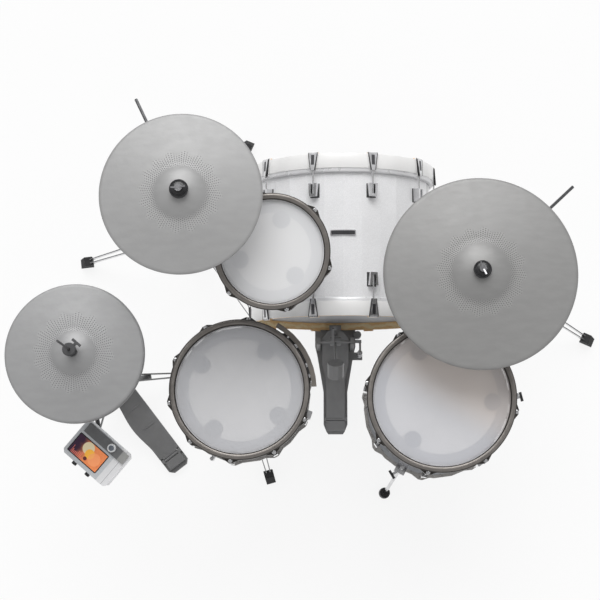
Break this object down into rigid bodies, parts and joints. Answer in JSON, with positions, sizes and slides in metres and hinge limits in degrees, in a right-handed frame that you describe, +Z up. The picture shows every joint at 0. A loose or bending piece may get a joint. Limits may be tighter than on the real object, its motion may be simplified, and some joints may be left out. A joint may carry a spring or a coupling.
{
  "type": "electronic drum kit",
  "caption": "Electronic drum kit with mesh heads: kick drum, rack tom, snare and floor tom, cymbal pads on boom stands, hi-hat on its pedal stand, kick pedal and a sound module.",
  "frame": {"origin": "middle of the kit's bounding box, on the floor", "axes": "+X along the kit's width, to the drummer's right; +Y away from the drummer; +Z up"},
  "size_m": [1.6436, 1.1213, 1.075],
  "materials": {
    "sparkle_shell": "white lacquer with fine sparkle",
    "white_shell": "white lacquer",
    "white_hoop": "white lacquer outside, bare wood inside",
    "dark_hoop": "dark nickel, satin",
    "mesh": "translucent white mesh",
    "clear_film": "milky film",
    "black_film": "black film",
    "plate": "satin",
    "foam": "matte",
    "housing": "satin",
    "cymbal_rubber": "satin grey with fine dimples",
    "chrome": "polished",
    "grey_metal": "grey paint",
    "black_metal": "black paint",
    "black_plastic": "matte",
    "silver_plastic": "silver paint",
    "steel": "bright wire"
  },
  "bodies": {
    "floor_standing": {"kick_shell": "sparkle_shell", "kick_front_hoop": "white_hoop", "kick_batter_hoop": "white_hoop", "kick_front_head": "black_film", "kick_batter_head": "mesh", "kick_trigger": "foam", "tom_arm": "chrome", "snare_stand_tripod": "chrome", "floor_tom_leg_1": "chrome", "floor_tom_leg_2": "chrome", "floor_tom_leg_3": "chrome", "hihat_tripod": "grey_metal", "hihat_pedal_frame": "grey_metal", "crash_tripod": "chrome", "ride_tripod": "chrome", "pedal_frame": "grey_metal", "pedal_spring": "steel", "module_arm": "black_metal"},
    "spur_left": {"kick_spur_left": "chrome"},
    "spur_right": {"kick_spur_right": "chrome"},
    "rack_tom": {"tom_shell": "white_shell", "tom_top_hoop": "dark_hoop", "tom_bottom_hoop": "dark_hoop", "tom_head": "mesh", "tom_bottom_head": "clear_film", "tom_sensor_plate": "plate"},
    "snare_tube": {"snare_stand_tube": "chrome"},
    "snare": {"snare_stand_basket": "chrome", "snare_shell": "white_shell", "snare_top_hoop": "dark_hoop", "snare_bottom_hoop": "dark_hoop", "snare_head": "mesh", "snare_bottom_head": "clear_film", "snare_sensor_plate": "plate", "snare_rim_sensor": "housing"},
    "floor_tom": {"floor_tom_shell": "white_shell", "floor_tom_top_hoop": "dark_hoop", "floor_tom_bottom_hoop": "dark_hoop", "floor_tom_head": "mesh", "floor_tom_bottom_head": "clear_film", "floor_tom_sensor_plate": "plate"},
    "crash_upper": {"crash_tube": "chrome"},
    "crash_arm": {"crash_boom": "chrome"},
    "crash_pad": {"crash_cymbal": "cymbal_rubber"},
    "crash_wing_nut": {"crash_nut": "black_plastic"},
    "ride_upper": {"ride_tube": "chrome"},
    "ride_arm": {"ride_boom": "chrome"},
    "ride_pad": {"ride_cymbal": "cymbal_rubber"},
    "ride_wing_nut": {"ride_nut": "black_plastic"},
    "hihat_upper": {"hihat_tube": "grey_metal", "hihat_bottom_cymbal": "cymbal_rubber"},
    "hihat_treadle": {"hihat_footboard": "grey_metal"},
    "hihat_pull_rod": {"hihat_rod": "grey_metal"},
    "hihat_top": {"hihat_top_cymbal": "cymbal_rubber", "hihat_clutch": "grey_metal"},
    "treadle": {"pedal_footboard": "grey_metal"},
    "beater": {"pedal_beater": "grey_metal"},
    "link": {"pedal_link": "grey_metal"},
    "module": {"module_case": "silver_plastic"},
    "dial": {"module_dial": "chrome"}
  },
  "joints": [
    {"name": "spur_left_fold", "type": "hinge", "parent": "floor_standing", "child": "spur_left", "pos_m": [-0.22605, 0.29305, 0.20338], "axis": [-0.9511, 0.0181, -0.3085], "range_deg": [-45, 0]},
    {"name": "spur_right_fold", "type": "hinge", "parent": "floor_standing", "child": "spur_right", "pos_m": [0.31605, 0.29305, 0.20338], "axis": [0.9511, 0.0181, -0.3085], "range_deg": [0, 45]},
    {"name": "tom_tilt", "type": "hinge", "parent": "floor_standing", "child": "rack_tom", "pos_m": [-0.26858, 0.13898, 0.79498], "axis": [0.8285, -0.5531, -0.0876], "range_deg": [-8, 8]},
    {"name": "snare_height", "type": "slide", "parent": "floor_standing", "child": "snare_tube", "axis": [0, 0, 1], "range_m": [-0.03, 0.06]},
    {"name": "snare_tilt", "type": "hinge", "parent": "snare_tube", "child": "snare", "pos_m": [-0.232, -0.2925, 0.43], "axis": [1, 0, 0], "range_deg": [-5, 10]},
    {"name": "floor_tom_height", "type": "slide", "parent": "floor_standing", "child": "floor_tom", "axis": [0, 0, 1], "range_m": [-0.03, 0.04]},
    {"name": "crash_height", "type": "slide", "parent": "floor_standing", "child": "crash_upper", "axis": [0, 0, 1], "range_m": [0, 0.1]},
    {"name": "crash_boom_tilt", "type": "hinge", "parent": "crash_upper", "child": "crash_arm", "pos_m": [-0.3915, 0.2075, 0.95981], "axis": [0.9041, 0.4274, 0], "range_deg": [-8, 15]},
    {"name": "crash_swing", "type": "hinge", "parent": "crash_arm", "child": "crash_pad", "pos_m": [-0.36076, 0.16119, 1.0315], "axis": [0.9041, 0.4274, 0], "range_deg": [-8, 8]},
    {"name": "crash_nut_spin", "type": "hinge", "parent": "crash_arm", "child": "crash_wing_nut", "pos_m": [-0.36076, 0.16119, 1.0315], "axis": [0, 0, 1], "continuous": true},
    {"name": "ride_height", "type": "slide", "parent": "floor_standing", "child": "ride_upper", "axis": [0, 0, 1], "range_m": [0, 0.1]},
    {"name": "ride_boom_tilt", "type": "hinge", "parent": "ride_upper", "child": "ride_arm", "pos_m": [0.4755, 0.062, 0.71986], "axis": [0.6871, -0.7266, 0], "range_deg": [-6, 15]},
    {"name": "ride_swing", "type": "hinge", "parent": "ride_arm", "child": "ride_pad", "pos_m": [0.40098, 0.00254, 0.7865], "axis": [0.6871, -0.7266, 0], "range_deg": [-6, 6]},
    {"name": "ride_nut_spin", "type": "hinge", "parent": "ride_arm", "child": "ride_wing_nut", "pos_m": [0.40098, 0.00254, 0.7865], "axis": [0, 0, 1], "continuous": true},
    {"name": "hihat_height", "type": "slide", "parent": "floor_standing", "child": "hihat_upper", "axis": [0, 0, 1], "range_m": [-0.03, 0.05]},
    {"name": "hihat_press", "type": "hinge", "parent": "floor_standing", "child": "hihat_treadle", "pos_m": [-0.47629, -0.43284, 0.016], "axis": [0.7917, 0.6109, 0], "range_deg": [-3.7, 0]},
    {"name": "hihat_rod_slide", "type": "slide", "parent": "floor_standing", "child": "hihat_pull_rod", "axis": [0, 0, 1], "range_m": [-0.0185, 0], "stiffness_N_per_m": 900, "springref_m": 0.04},
    {"name": "hihat_clutch_slide", "type": "slide", "parent": "hihat_pull_rod", "child": "hihat_top", "axis": [0, 0, 1], "range_m": [-0.03, 0.05]},
    {"name": "pedal_press", "type": "hinge", "parent": "floor_standing", "child": "treadle", "pos_m": [0.024, -0.3202, 0.016], "axis": [1, 0, 0], "range_deg": [-6.7, 0], "stiffness_Nm_per_rad": 20, "springref_deg": 8.59},
    {"name": "beater_swing", "type": "hinge", "parent": "floor_standing", "child": "beater", "pos_m": [0.024, -0.0965, 0.125], "axis": [1, 0, 0], "range_deg": [-46, 0]},
    {"name": "link_swing", "type": "hinge", "parent": "beater", "child": "link", "pos_m": [0.024, -0.06186, 0.145], "axis": [1, 0, 0], "range_deg": [0, 46]},
    {"name": "module_tilt", "type": "hinge", "parent": "floor_standing", "child": "module", "pos_m": [-0.6, -0.4585, 0.646], "axis": [0.757, -0.6534, 0], "range_deg": [-8, 8]},
    {"name": "module_dial_turn", "type": "hinge", "parent": "module", "child": "dial", "pos_m": [-0.56101, -0.4489, 0.70273], "axis": [-0.0683, -0.0791, 0.9945], "continuous": true}
  ],
  "couplings": [
    {"joint": "beater_swing", "follows": "pedal_press", "ratio": 6.52},
    {"joint": "link_swing", "follows": "pedal_press", "ratio": -6.52},
    {"joint": "hihat_rod_slide", "follows": "hihat_press", "m_per_rad": 0.2745},
    {"joint": "hihat_clutch_slide", "follows": "hihat_height", "ratio": 1}
  ]
}
